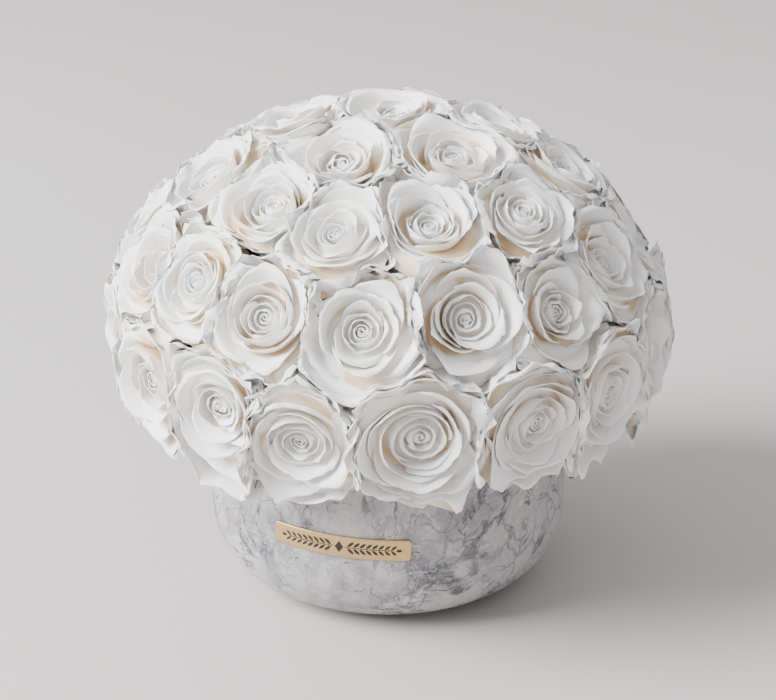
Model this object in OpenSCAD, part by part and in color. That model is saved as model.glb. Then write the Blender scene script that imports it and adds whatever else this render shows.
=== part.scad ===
// Domed arrangement of preserved roses in a round marble bowl.
// Millimetres, +Z up. The origin is the centre of the foot, on the surface that the bowl stands on.
// -Y is the front, where the plaque is, and +X is on the right of a person who faces the plaque.
// The roses, their stems, the foam and the liner are one insert that lifts straight up out of the bowl.

/* [Bowl] */
// Outer diameter of the straight wall
bowl_d = 195; // [192:1:198]
// Height of the rim above the table
rim_z = 108; // [106:1:110]
// Diameter of the foot
foot_d = 96; // [90:1:102]
// Height at which the round belly has become the straight wall
shoulder_z = 47; // [44:1:48]
// Thickness of the marble wall
wall = 9; // [8:0.5:10]
// Thickness of the marble floor
floor_t = 11; // [10:0.5:13]
// Thickness of the felt disc under the foot
felt_t = 1.6; // [1.2:0.2:2.4]
// Diameter of the felt disc
felt_d = 84; // [76:1:86]

/* [Insert] */
// Thickness of the plastic liner
liner_t = 1.6; // [1.2:0.1:2]
// Gap between the liner and the marble
liner_gap = 2; // [1.5:0.1:2.5]
// Diameter of the liner's flange, which sits on the rim
flange_d = 186; // [184:1:188]

/* [Rose dome] */
// Radius of the dome, measured to the crowns of the roses at its widest level
dome_r = 150; // [148:1:153]
// Height of the dome's widest level above the table
dome_z = 144; // [142:1:147]
// Height of the topmost crown above that level
dome_h = 122; // [120:1:126]
// Length of a head, from its crown down to its calyx
head_len = 43; // [41:1:44]
// Radius of a head where no neighbour presses on it
head_r = 29; // [26:1:30]
// Gap left between two heads that press on each other
head_gap = 0.6; // [0.6:0.2:2]
// Diameter of a stem
stem_d = 4.4; // [3:0.2:6]
// Depth to which a stem is pushed into the foam
stem_in = 22; // [15:1:26]

/* [Plaque] */
// Length of the plaque, straight across
plaque_w = 72; // [60:1:76]
// Height of the plaque
plaque_h = 11.6; // [10:0.2:12.4]
// Thickness of the brass
plaque_t = 0.9; // [0.6:0.1:1.2]
// Direction of the plaque's middle, counted from the front towards +X
plaque_az = -14.5; // [-30:0.5:30]
// Height of the plaque's middle above the table
plaque_z = 56; // [55:1:80]
// How far the plaque leans, with its right end lower
plaque_lean = 2; // [0:0.5:3]

/* [Hidden] */
$fn = 96;
bowl_r = bowl_d / 2;
foot_r = foot_d / 2;
felt_r = felt_d / 2;
felt_proud = 0.6;      // how far the felt stands out of its recess
felt_fit = 0.4;        // gap round the felt in its recess
rim_round = 1.6;       // radius of the rim's two edges
belly_power = 2.4;     // 2 makes the belly a true ellipse, more makes it squarer
belly_steps = 18;
inside_r = bowl_r - wall;
inside_foot_r = foot_r - 6;
inside_z = felt_proud + floor_t;
inside_shoulder_z = shoulder_z + 5;

// The liner is the bowl's inside, moved in and up by its gap. The foam fits the liner the same way.
liner_r = inside_r - liner_gap;
liner_foot_r = inside_foot_r - liner_gap;
liner_z = inside_z + liner_gap;
liner_shoulder_z = inside_shoulder_z + liner_gap;
flange_r = flange_d / 2;
flange_z = rim_z + liner_t;
foam_fit = 0.6;

// A head's widest ring lies below its crown, and the centres of all rings lie on one ellipsoid.
crown_h = 7;
ring_r = dome_r - crown_h;
ring_h = dome_h - crown_h;
calyx_h = 3.4;
calyx_r = 6.4;
base_r = 7;
head_base = crown_h - head_len;                 // the underside of a head, from its ring
foam_dome_r = ring_r + head_base - calyx_h;
foam_dome_h = ring_h + head_base - calyx_h;
foam_start = asin((flange_z - dome_z) / foam_dome_h);

adhesive_t = 0.4;
adhesive_inset = 1.2;
plaque_corner = 2;
cutter_depth = 60;     // how far the plaque's outline is carried through the wall

// Rows of roses from the rim up: [elevation, how far the row waves, azimuth of each rose].
// Both angles are in degrees, and an azimuth counts from the front towards +X.
rows = [
    [-2, 3, [4, 28, 49, 71, 93, 113, 136, 155, 178, 197, 220, 240, 262, 283, -57, -34, -16]],
    [24, 4, [-5, 16, 36, 59, 80, 103, 122, 145, 165, 188, 208, 231, 251, 273, -66, -45, -25]],
    [49, 3, [9, 39, 78, 109, 138, 169, 197, 228, 256, -74, -36, -11]],
    [68, 2, [32, 88, 146, 204, -97, -22]],
    [89, 0, [0]]
];
wander = 2;            // each rose also strays this many degrees up or down

function elevation(row, az) = row[0] - row[1] * cos(2 * az) + wander * sin(7 * az) * (row[0] < 80 ? 1 : 0);
angles = [for (row = rows) for (az = row[2]) [az, elevation(row, az)]];
rose_count = len(angles);

// Centre of a head's ring, and the angle of its axis above the horizontal, which is the ellipsoid's normal
function ring_at(a) = [
    ring_r * cos(a[1]) * sin(a[0]),
    -ring_r * cos(a[1]) * cos(a[0]),
    dome_z + ring_h * sin(a[1])
];
function pitch_at(a) = atan2(sin(a[1]) / ring_h, cos(a[1]) / ring_r);

centres = [for (a = angles) ring_at(a)];
press_reach = 2 * head_r + 6;   // heads whose centres are further apart than this don't touch
function neighbours(i) = [
    for (j = [0 : rose_count - 1])
        if (j != i && norm(centres[j] - centres[i]) < press_reach) j
];

function rose_name(i) = str("rose_", i < 9 ? "0" : "", i + 1);

// Quarter of a superellipse, from a foot of radius r0 at height z0 to a wall of radius r1 at height z1
function belly(r0, z0, r1, z1) = [
    for (i = [0 : belly_steps])
        let (a = 90 * i / belly_steps)
        [r0 + (r1 - r0) * pow(sin(a), 2 / belly_power), z1 - (z1 - z0) * pow(cos(a), 2 / belly_power)]
];

function reversed(list) = [for (i = [len(list) - 1 : -1 : 0]) list[i]];

// Arc of radius r about [x, y], from angle a0 to angle a1
function arc(x, y, r, a0, a1, steps = 4) = [
    for (i = [0 : steps])
        let (a = a0 + (a1 - a0) * i / steps)
        [x + r * cos(a), y + r * sin(a)]
];

// Moves a shape from the origin to rose i: its +Z becomes the axis of the head
module at_rose(i) {
    translate(centres[i])
        rotate([90 - pitch_at(angles[i]), 0, angles[i][0]])
            children();
}

module bowl() {
    recess_z = felt_t;
    profile = concat(
        [[0, recess_z], [felt_r + felt_fit, recess_z], [felt_r + felt_fit, felt_proud]],
        belly(foot_r, felt_proud, bowl_r, shoulder_z),
        arc(bowl_r - rim_round, rim_z - rim_round, rim_round, 0, 90),
        arc(inside_r + rim_round, rim_z - rim_round, rim_round, 90, 180),
        reversed(belly(inside_foot_r, inside_z, inside_r, inside_shoulder_z)),
        [[0, inside_z]]
    );
    color("gainsboro") rotate_extrude() polygon(profile);
}

module foot_felt() {
    color("dimgray") cylinder(r = felt_r, h = felt_t);
}

module liner() {
    profile = concat(
        [[0, liner_z]],
        belly(liner_foot_r, liner_z, liner_r, liner_shoulder_z),
        [[liner_r, rim_z], [flange_r, rim_z], [flange_r, flange_z], [liner_r - liner_t, flange_z]],
        reversed(belly(
            liner_foot_r - liner_t, liner_z + liner_t,
            liner_r - liner_t, liner_shoulder_z + liner_t
        )),
        [[0, liner_z + liner_t]]
    );
    color("whitesmoke") rotate_extrude() polygon(profile);
}

module foam_core() {
    plug_r = liner_r - liner_t - foam_fit;
    plug_foot_r = liner_foot_r - liner_t - foam_fit;
    plug_z = liner_z + liner_t;
    dome_steps = 20;
    dome = [
        for (i = [0 : dome_steps])
            let (a = foam_start + (90 - foam_start) * i / dome_steps)
            [foam_dome_r * cos(a), dome_z + foam_dome_h * sin(a)]
    ];
    profile = concat(
        [[0, plug_z]],
        belly(plug_foot_r, plug_z, plug_r, liner_shoulder_z + liner_t + foam_fit),
        [[plug_r, flange_z]],
        dome
    );
    color("tan") rotate_extrude() polygon(profile);
}

// Each stem is a stub with the calyx that its head sits on
module rose_stems() {
    color("olivedrab")
        for (i = [0 : rose_count - 1])
            at_rose(i) {
                translate([0, 0, head_base - calyx_h])
                    cylinder(r1 = stem_d / 2, r2 = calyx_r, h = calyx_h, $fn = 24);
                translate([0, 0, head_base - calyx_h - stem_in])
                    cylinder(d = stem_d, h = stem_in, $fn = 24);
            }
}

// Everything beyond the plane that rose i shares with rose j
module beyond(i, j) {
    apart = centres[j] - centres[i];
    unit = apart / norm(apart);
    size = 4 * head_r;
    translate((centres[i] + centres[j]) / 2 - unit * head_gap / 2)
        rotate([0, acos(unit[2]), atan2(unit[1], unit[0])])
            translate([-size / 2, -size / 2, 0])
                cube(size);
}

// A plain bud: narrow at the calyx, widest at its ring, rounded over at the crown, and pressed
// flat where it meets its neighbours
module rose(i) {
    r = head_r;
    depth = -head_base;
    profile = [
        [0, head_base], [base_r, head_base],
        [0.5 * r, -0.75 * depth], [0.78 * r, -0.4 * depth], [0.94 * r, -0.12 * depth], [r, 0],
        [0.96 * r, 0.45 * crown_h], [0.8 * r, 0.85 * crown_h], [0.5 * r, crown_h], [0, crown_h]
    ];
    color("ivory")
        difference() {
            at_rose(i) rotate_extrude($fn = 40) polygon(profile);
            for (j = neighbours(i)) beyond(i, j);
        }
}

module rounded_rectangle(w, h, r) {
    square([w - 2 * r, h], center = true);
    square([w, h - 2 * r], center = true);
    for (x = [-1, 1], y = [-1, 1])
        translate([x * (w / 2 - r), y * (h / 2 - r)]) circle(r = r);
}

// A plate bent round the wall, from radius r0 to r1, with the plaque's outline less an inset
module bent_plate(r0, r1, inset) {
    intersection() {
        difference() {
            cylinder(r = r1, h = rim_z, $fn = 180);
            translate([0, 0, -1]) cylinder(r = r0, h = rim_z + 2, $fn = 180);
        }
        rotate([0, 0, plaque_az])
            translate([0, -(bowl_r - cutter_depth / 2), plaque_z])
                rotate([90, plaque_lean, 0])
                    linear_extrude(cutter_depth)
                        rounded_rectangle(plaque_w - 2 * inset, plaque_h - 2 * inset, plaque_corner);
    }
}

module plaque_adhesive() {
    color("white") bent_plate(bowl_r, bowl_r + adhesive_t, adhesive_inset);
}

module plaque() {
    color("burlywood") bent_plate(bowl_r + adhesive_t, bowl_r + adhesive_t + plaque_t, 0);
}

bowl();
foot_felt();
liner();
foam_core();
rose_stems();
plaque_adhesive();
plaque();
for (i = [0 : rose_count - 1]) rose(i);
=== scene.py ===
# %% [markdown]
# # A dome of preserved roses in a marble bowl
#
# The real object is a heavy stone bowl, a plastic liner that drops into it, a block of dry foam
# that fills the liner and swells into a dome, and one preserved rose head for every place on that
# dome. A small brass plaque is stuck to the bowl's wall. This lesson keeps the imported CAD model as
# the frame, and puts a detailed piece in the place of every solid.
#
# The CAD model says where each rose sits. It could be read by eye, but then the roses would drift
# from the solids that carry their weight, so every place below is worked out from the frame's boxes.

import math

import bpy
import numpy as np
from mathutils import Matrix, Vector, noise


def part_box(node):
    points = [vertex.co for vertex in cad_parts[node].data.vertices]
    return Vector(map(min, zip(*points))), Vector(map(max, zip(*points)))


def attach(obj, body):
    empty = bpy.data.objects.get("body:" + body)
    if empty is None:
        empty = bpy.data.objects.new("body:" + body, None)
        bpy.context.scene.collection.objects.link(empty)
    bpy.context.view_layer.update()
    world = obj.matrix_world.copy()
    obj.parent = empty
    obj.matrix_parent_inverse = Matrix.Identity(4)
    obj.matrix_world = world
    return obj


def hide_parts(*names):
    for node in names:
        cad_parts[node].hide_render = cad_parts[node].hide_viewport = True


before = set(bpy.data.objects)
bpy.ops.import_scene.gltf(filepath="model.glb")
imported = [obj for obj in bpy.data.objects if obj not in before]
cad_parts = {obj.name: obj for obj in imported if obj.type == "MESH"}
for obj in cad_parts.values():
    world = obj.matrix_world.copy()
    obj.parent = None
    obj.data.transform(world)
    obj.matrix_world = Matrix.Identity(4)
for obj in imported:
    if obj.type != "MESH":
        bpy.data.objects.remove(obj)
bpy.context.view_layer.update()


def in_scene(name, data):
    """An object that carries the data, linked to the scene."""
    made = bpy.data.objects.new(name, data)
    bpy.context.scene.collection.objects.link(made)
    return made


def box(node):
    """The lowest and the highest corner of a CAD solid."""
    return np.array(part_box(node))


def coordinates(mesh):
    flat = np.empty(len(mesh.vertices) * 3)
    mesh.vertices.foreach_get("co", flat)
    return flat.reshape(-1, 3)


# %% [markdown]
# ## Camera, floor and light
#
# The bowl is looked at from a little above its rim with a short telephoto lens, so its rings stay
# nearly round. One large soft lamp on the left stands for a window, and a pale sky, brighter on the
# left than on the right, fills the rest. The window could be many small lamps, but one disc over
# two metres across gives the same slow change from light to shade with far less noise.

# %% Camera
CAMERA_PITCH = math.radians(21)
CAMERA_REACH = 0.963
CAMERA_LENS = 82.6
CAMERA_SENSOR = 36
LOOK_AT = (0.0, 0.0, 0.1255)

camera_data = bpy.data.cameras.new("camera")
camera_data.lens = CAMERA_LENS
camera_data.sensor_width = CAMERA_SENSOR
camera = in_scene("camera", camera_data)
camera.location = (
    LOOK_AT[0],
    LOOK_AT[1] - CAMERA_REACH * math.cos(CAMERA_PITCH),
    LOOK_AT[2] + CAMERA_REACH * math.sin(CAMERA_PITCH),
)
camera.rotation_euler = (math.pi / 2 - CAMERA_PITCH, 0, 0)
bpy.context.scene.camera = camera
print("camera at", [round(v, 3) for v in camera.location])


# %% Lamp and sky
DOME_MIDDLE = (0, 0, 0.15)
WINDOW_PLACE = (-3.0, -0.9, 2.2)
WINDOW_ACROSS = 2.4
WINDOW_WATTS = 585
SKY_LEFT = 1.5
SKY_RIGHT = 0.69


def area_lamp(name, place, target, size, watts):
    data = bpy.data.lights.new(name, "AREA")
    data.shape = "DISK"
    data.size = size
    data.energy = watts
    lamp = in_scene(name, data)
    lamp.location = place
    aim = np.array(target) - np.array(place)
    away = math.hypot(aim[0], aim[1])
    lamp.rotation_euler = (math.atan2(away, -aim[2]), 0, math.atan2(-aim[0], aim[1]))


area_lamp("window", WINDOW_PLACE, DOME_MIDDLE, WINDOW_ACROSS, WINDOW_WATTS)

sky = bpy.data.worlds.new("sky")
bpy.context.scene.world = sky
sky.use_nodes = True
sky_nodes = sky.node_tree.nodes
sky_links = sky.node_tree.links
sky_split = sky_nodes.new("ShaderNodeSeparateXYZ")
sky_links.new(sky_nodes.new("ShaderNodeTexCoord").outputs["Generated"], sky_split.inputs[0])
sky_fade = sky_nodes.new("ShaderNodeMapRange")
for socket, value in (("From Min", -1), ("From Max", 1), ("To Min", SKY_LEFT), ("To Max", SKY_RIGHT)):
    sky_fade.inputs[socket].default_value = value
sky_links.new(sky_split.outputs["X"], sky_fade.inputs["Value"])
sky_nodes["Background"].inputs["Color"].default_value = (0.98, 0.97, 0.975, 1)
sky_links.new(sky_fade.outputs["Result"], sky_nodes["Background"].inputs["Strength"])
print("window:", WINDOW_WATTS, "W; sky from", SKY_LEFT, "on the left to", SKY_RIGHT, "on the right")


# %% [markdown]
# ## Small helpers for materials
#
# Every material here is a Principled shader with a few textures in front of it. `Paint` wraps one
# material's node tree, so that a finish reads as a short recipe: noise, step, mix, bump. Patterns
# read Object coordinates or numbers stored on the mesh, and both stay with the piece when it moves.

# %% Material helper
class Paint:
    def __init__(self, name, roughness=0.5, metallic=0.0):
        self.material = bpy.data.materials.new(name)
        self.material.use_nodes = True
        self.tree = self.material.node_tree
        self.shader = self.tree.nodes["Principled BSDF"]
        self.shader.inputs["Roughness"].default_value = roughness
        self.shader.inputs["Metallic"].default_value = metallic
        self.where = self.tree.nodes.new("ShaderNodeTexCoord").outputs["Object"]

    def node(self, kind, inputs=(), **settings):
        made = self.tree.nodes.new(kind)
        for key, value in settings.items():
            setattr(made, key, value)
        for key, value in dict(inputs).items():
            self.feed(made.inputs[key], value)
        return made

    def feed(self, socket, value):
        if isinstance(value, bpy.types.NodeSocket):
            self.tree.links.new(value, socket)
        else:
            socket.default_value = value

    def scaled(self, scale, turn=(0, 0, 0), where=None):
        inputs = {"Vector": where or self.where, "Scale": scale, "Rotation": turn}
        return self.node("ShaderNodeMapping", inputs).outputs[0]

    def noise(self, scale, detail=4, roughness=0.5, distortion=0.0, where=None):
        inputs = {
            "Vector": where or self.where,
            "Scale": scale,
            "Detail": detail,
            "Roughness": roughness,
            "Distortion": distortion,
        }
        return self.node("ShaderNodeTexNoise", inputs).outputs["Fac"]

    def step(self, value, low, high, out_low=0.0, out_high=1.0):
        inputs = {
            "Value": value,
            "From Min": low,
            "From Max": high,
            "To Min": out_low,
            "To Max": out_high,
        }
        made = self.node("ShaderNodeMapRange", inputs, interpolation_type="SMOOTHSTEP")
        return made.outputs["Result"]

    def math(self, operation, a, b=0.0):
        return self.node("ShaderNodeMath", {0: a, 1: b}, operation=operation).outputs[0]

    def times(self, a, b):
        return self.math("MULTIPLY", a, b)

    def vector_math(self, operation, a, b):
        second = "Scale" if operation == "SCALE" else 1
        return self.node("ShaderNodeVectorMath", {0: a, second: b}, operation=operation).outputs[0]

    def mix(self, amount, a, b):
        made = self.node("ShaderNodeMix", data_type="RGBA")
        for key, value in (("Factor_Float", amount), ("A_Color", a), ("B_Color", b)):
            self.feed(next(s for s in made.inputs if s.identifier == key), value)
        return next(s for s in made.outputs if s.identifier == "Result_Color")

    def attribute(self, name):
        return self.node("ShaderNodeAttribute", attribute_name=name).outputs["Fac"]

    def bump(self, height, distance, strength=1.0):
        inputs = {"Height": height, "Distance": distance, "Strength": strength}
        self.feed(self.shader.inputs["Normal"], self.node("ShaderNodeBump", inputs).outputs[0])

    def colour(self, value):
        self.feed(self.shader.inputs["Base Color"], value)


def rgb(red, green, blue):
    return (red, green, blue, 1)


# %% Floor
FLOOR_HALF = 6


def pale_floor():
    paint = Paint("floor_paint", roughness=0.7)
    cloud = paint.noise(3, detail=3)
    paint.colour(paint.mix(cloud, rgb(0.452, 0.432, 0.418), rgb(0.478, 0.46, 0.446)))
    mesh = bpy.data.meshes.new("floor")
    corners = [(x * FLOOR_HALF, y * FLOOR_HALF, 0) for x, y in ((-1, -1), (1, -1), (1, 1), (-1, 1))]
    mesh.from_pydata(corners, [], [(0, 1, 2, 3)])
    mesh.materials.append(paint.material)
    floor = in_scene("floor", mesh)


pale_floor()

# %% [markdown]
# ## The marble
#
# This stone is a pale lavender grey: soft clouds, chalky white patches, a few pink blushes, short
# broken veins of blue-grey, and a net of hairline cracks where the stone was crushed and healed.
# A vein is where a smooth noise passes through one value, so it is cut out of the noise with a
# narrow band. Breaking it up with a second noise keeps it from running on like a contour line.


# %% Marble finish
def marble_paint():
    paint = Paint("marble", roughness=0.4)
    bend = paint.node("ShaderNodeTexNoise", {"Vector": paint.where, "Scale": 30, "Detail": 5})
    bend = paint.vector_math("SUBTRACT", bend.outputs["Color"], (0.5, 0.5, 0.5))
    bent = paint.vector_math("ADD", paint.where, paint.vector_math("SCALE", bend, 0.03))
    tall = paint.scaled((1, 1, 0.5), where=bent)
    leaning = paint.scaled((1, 1, 0.55), turn=(0.25, 0.5, 0), where=bent)
    crossing = paint.scaled((1, 1, 1.5), turn=(0.9, -0.4, 0.7), where=bent)

    def cells(scale, output, **settings):
        made = paint.node("ShaderNodeTexVoronoi", {"Vector": bent, "Scale": scale}, **settings)
        return made.outputs[output]

    def vein(scale, width, where, broken_scale, broken_from):
        """Where a noise passes through its middle value, thick and thin in turn, and broken up."""
        ridge = paint.noise(scale, detail=6, roughness=0.6, distortion=0.8, where=where)
        ridge = paint.math("ABSOLUTE", paint.math("SUBTRACT", ridge, 0.5))
        swell = paint.step(paint.noise(scale * 2.3, detail=2, where=paint.where), 0.4, 0.72, 0.35, 2.6)
        line = paint.step(paint.math("DIVIDE", ridge, swell), 0.0, width, 1, 0)
        gaps = paint.noise(broken_scale, detail=3, where=paint.where)
        return paint.times(line, paint.step(gaps, broken_from, broken_from + 0.08))

    clouds = paint.noise(15, detail=8, roughness=0.68, where=tall)
    chalk = paint.noise(85, detail=6, roughness=0.75, where=bent)
    blush = paint.noise(28, detail=3, where=paint.scaled((1, 1, 0.6), turn=(0.4, 0.9, 0.2)))
    fine = vein(19, 0.021, tall, 30, 0.40)
    cracks = paint.step(cells(58, "Distance", feature="DISTANCE_TO_EDGE"), 0.0, 0.06, 1, 0)
    cracks = paint.times(cracks, paint.step(paint.noise(21, detail=2, where=tall), 0.46, 0.58))
    near_vein = paint.step(paint.noise(17, detail=2), 0.46, 0.58)
    blots = paint.step(paint.noise(62, detail=4, roughness=0.6, where=leaning), 0.61, 0.67)
    specks = paint.step(paint.noise(330, detail=2), 0.66, 0.74)
    grain = paint.noise(520, detail=3, roughness=0.7)
    salt = paint.mix(paint.step(grain, 0.35, 0.65), rgb(0.16, 0.16, 0.17), rgb(0.6, 0.6, 0.6))

    stone = paint.mix(paint.step(clouds, 0.36, 0.62), rgb(0.172, 0.156, 0.168), rgb(0.40, 0.372, 0.38))
    for mask, colour in (
        (paint.step(chalk, 0.38, 0.68, 0, 0.6), rgb(0.50, 0.475, 0.48)),
        (paint.step(cells(36, "Color"), 0.5, 0.85, 0, 0.5), rgb(0.49, 0.475, 0.485)),
        (paint.step(blush, 0.48, 0.66, 0, 0.5), rgb(0.42, 0.352, 0.36)),
        (paint.times(vein(12, 0.035, leaning, 16, 0.44), 0.6), rgb(0.13, 0.13, 0.16)),
        (fine, rgb(0.03, 0.03, 0.045)),
        (vein(24, 0.018, crossing, 38, 0.44), rgb(0.035, 0.035, 0.05)),
        (paint.times(vein(15, 0.008, crossing, 26, 0.5), 0.7), rgb(0.66, 0.64, 0.64)),
        (paint.times(cracks, 0.7), rgb(0.09, 0.088, 0.11)),
        (paint.times(paint.times(blots, near_vein), 0.9), rgb(0.075, 0.077, 0.10)),
        (paint.times(paint.times(specks, near_vein), 0.6), rgb(0.08, 0.08, 0.1)),
        (0.14, salt),
    ):
        stone = paint.mix(mask, stone, colour)

    paint.colour(stone)
    paint.feed(paint.shader.inputs["Roughness"], paint.step(clouds, 0.3, 0.7, 0.5, 0.36))
    pits = paint.math("ADD", paint.times(fine, -1.0), paint.times(grain, 0.25))
    paint.bump(pits, 0.0002, 0.5)
    return paint.material


# %% [markdown]
# ## The bowl
#
# A stone bowl is turned, so its shape is one outline carried round an axis. The CAD solid has that
# outline in short straight steps, which the stone's sheen would show as rings. The outline is drawn
# again here in finer steps, from the CAD solid's box and the sizes it was built with, and turned
# again. Its wall, belly, foot and recess keep the sizes of the solid.


# %% Meshes from arrays
def new_piece(name, vertices, faces, materials, smooth=True):
    mesh = bpy.data.meshes.new(name)
    mesh.from_pydata([tuple(v) for v in vertices], [], [tuple(f) for f in faces])
    for material in materials:
        mesh.materials.append(material)
    mesh.validate()
    if smooth:
        mesh.shade_smooth()
    return in_scene(name, mesh)


def carry_over(piece, body, node):
    """Says which body the piece moves with, and hides the CAD solid that it stands for."""
    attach(piece, body)
    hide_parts(node)
    return piece


def turned(outline, around):
    """A closed outline of (radius, height) points, first and last on the axis, turned into a solid."""
    inner = outline[1:-1]
    angles = np.arange(around) * 2 * np.pi / around
    rings = [
        np.stack([r * np.cos(angles), r * np.sin(angles), np.full(around, z)], axis=1) for r, z in inner
    ]
    low = np.array([[0, 0, outline[0][1]]])
    high = np.array([[0, 0, outline[-1][1]]])
    vertices = np.concatenate([low] + rings + [high])
    faces = []
    step = np.arange(around)
    after = (step + 1) % around
    for ring in range(len(inner) - 1):
        a = 1 + ring * around
        b = a + around
        faces += [(a + i, a + j, b + j, b + i) for i, j in zip(step, after)]
    last = 1 + (len(inner) - 1) * around
    faces += [(0, 1 + j, 1 + i) for i, j in zip(step, after)]
    faces += [(len(vertices) - 1, last + i, last + j) for i, j in zip(step, after)]
    return vertices, faces


# %% Bowl
MM = 0.001
bowl_low, bowl_high = box("bowl")
felt_low, felt_high = box("foot_felt")
BOWL_R = bowl_high[0]
RIM_Z = bowl_high[2]
FOOT_Z = bowl_low[2]
WALL = 9 * MM
FOOT_R = 48 * MM
SHOULDER_Z = 47 * MM
FLOOR_Z = 11.6 * MM
INNER_FOOT_R = FOOT_R - 6 * MM
INNER_SHOULDER_Z = SHOULDER_Z + 5 * MM
BELLY_POWER = 2.4
RIM_ROUND = 1.6 * MM
TURN_STEPS = 240
RECESS_R = felt_high[0] + 0.4 * MM


def belly(r0, z0, r1, z1, steps=40):
    """A full curve from a foot's edge up to the place where the wall stands upright."""
    a = np.linspace(0, np.pi / 2, steps + 1)
    r = r0 + (r1 - r0) * np.sin(a) ** (2 / BELLY_POWER)
    z = z1 - (z1 - z0) * np.clip(np.cos(a), 0, 1) ** (2 / BELLY_POWER)
    return list(zip(r, z))


def rounded_edge(radius, low, high, rounding, steps):
    """The outer edge of a disc from its lower face to its upper face, full at half height."""
    middle, half = (low + high) / 2, (high - low) / 2
    turns = np.linspace(-math.pi / 2, math.pi / 2, steps)
    return [(radius - rounding * (1 - math.cos(a)), middle + half * math.sin(a)) for a in turns]


def rim_arc(x, start, end):
    a = np.linspace(start, end, 7)
    return list(zip(x + RIM_ROUND * np.cos(a), RIM_Z - RIM_ROUND + RIM_ROUND * np.sin(a)))


def bowl_outline():
    inside = belly(INNER_FOOT_R, FLOOR_Z, BOWL_R - WALL, INNER_SHOULDER_Z)[::-1]
    wall = [(BOWL_R, z) for z in np.linspace(SHOULDER_Z, RIM_Z - RIM_ROUND, 8)[1:-1]]
    return (
        [(0, felt_high[2]), (RECESS_R, felt_high[2]), (RECESS_R, FOOT_Z)]
        + belly(FOOT_R, FOOT_Z, BOWL_R, SHOULDER_Z)
        + wall
        + rim_arc(BOWL_R - RIM_ROUND, 0, np.pi / 2)
        + rim_arc(BOWL_R - WALL + RIM_ROUND, np.pi / 2, np.pi)
        + inside
        + [(0, FLOOR_Z)]
    )


bowl = new_piece("marble_bowl", *turned(bowl_outline(), TURN_STEPS), [marble_paint()])
carry_over(bowl, "bowl", "bowl")
print("bowl:", len(bowl.data.polygons), "faces, rim at", round(RIM_Z, 4))

# %% [markdown]
# ## The plaque
#
# A strip of sheet brass is cut with rounded corners, brushed along its length, engraved, filled with
# dark enamel and rolled to the bowl's radius. It is drawn flat here, as the maker draws it, and then
# bent: a point's distance along the strip becomes an angle round the wall. Bending it with a
# modifier would work too, but one function bends the strip, its bevel and its ornament alike. The
# ornament is a plain garland of leaves on each side of a lozenge.


# %% Brass and enamel
def brass_paint():
    paint = Paint("brushed_brass", roughness=0.34, metallic=1.0)
    along = paint.attribute("along")
    upright = paint.attribute("upright")
    flat = paint.node("ShaderNodeCombineXYZ", {0: along, 1: upright}).outputs[0]
    brushed = paint.noise(1, detail=4, roughness=0.7, where=paint.scaled((90, 5200, 1), where=flat))
    clouded = paint.noise(1, detail=3, where=paint.scaled((60, 160, 1), where=flat))
    metal = paint.mix(brushed, rgb(0.50, 0.325, 0.145), rgb(0.74, 0.52, 0.27))
    paint.colour(paint.mix(paint.step(clouded, 0.4, 0.7, 0, 0.35), metal, rgb(0.54, 0.34, 0.14)))
    paint.feed(paint.shader.inputs["Roughness"], paint.step(brushed, 0.3, 0.7, 0.3, 0.42))
    paint.bump(brushed, 0.00004, 0.6)
    return paint.material


def enamel_paint():
    paint = Paint("dark_enamel", roughness=0.6)
    paint.colour(paint.mix(paint.noise(900, detail=2), rgb(0.008, 0.007, 0.006), rgb(0.02, 0.017, 0.015)))
    return paint.material


# %% Bend a flat drawing round the wall
plaque_points = coordinates(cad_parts["plaque"].data)
plaque_low, plaque_high = box("plaque")
PLAQUE_R = np.hypot(plaque_points[:, 0], plaque_points[:, 1]).max()
PLAQUE_T = PLAQUE_R - np.hypot(plaque_points[:, 0], plaque_points[:, 1]).min()
PLAQUE_W = 72 * MM
PLAQUE_H = 11.6 * MM
PLAQUE_CORNER = 2 * MM
PLAQUE_BEVEL = 0.3 * MM
PLAQUE_LEAN = math.radians(2)
ENAMEL_PROUD = 0.05 * MM
ENAMEL_DEEP = 0.25 * MM
GARLAND_END = 28
STALK_STEP = 1.5
LEAF_STEP = 3.1
LEAF_LEAN = math.radians(40)
plaque_azimuths = np.arctan2(plaque_points[:, 0], -plaque_points[:, 1])
PLAQUE_AZIMUTH = (plaque_azimuths.min() + plaque_azimuths.max()) / 2
PLAQUE_Z = (plaque_low[2] + plaque_high[2]) / 2


def bent(x, z, depth):
    """Points of the flat strip, at a depth below its face, placed on the bowl's wall."""
    across = x * math.cos(PLAQUE_LEAN) + z * math.sin(PLAQUE_LEAN)
    height = z * math.cos(PLAQUE_LEAN) - x * math.sin(PLAQUE_LEAN)
    angle = PLAQUE_AZIMUTH + np.arcsin(across / PLAQUE_R)
    reach = PLAQUE_R - depth
    return np.stack([reach * np.sin(angle), -reach * np.cos(angle), PLAQUE_Z + height], axis=-1)


def strip_outline(inset, columns=64):
    """Half heights of the strip at a row of places along it, closer together at the rounded ends."""
    corner = PLAQUE_CORNER - inset
    half = PLAQUE_W / 2 - inset
    end = half - corner
    turns = np.linspace(0, math.pi / 2, 9)
    rounded = end + corner * np.sin(turns)
    x = np.concatenate([-rounded[::-1], np.linspace(-end, end, columns)[1:-1], rounded])
    past = np.maximum(np.abs(x) - end, 0)
    tall = PLAQUE_H / 2 - inset - corner + np.sqrt(np.maximum(corner ** 2 - past ** 2, 0))
    return x, tall


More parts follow.
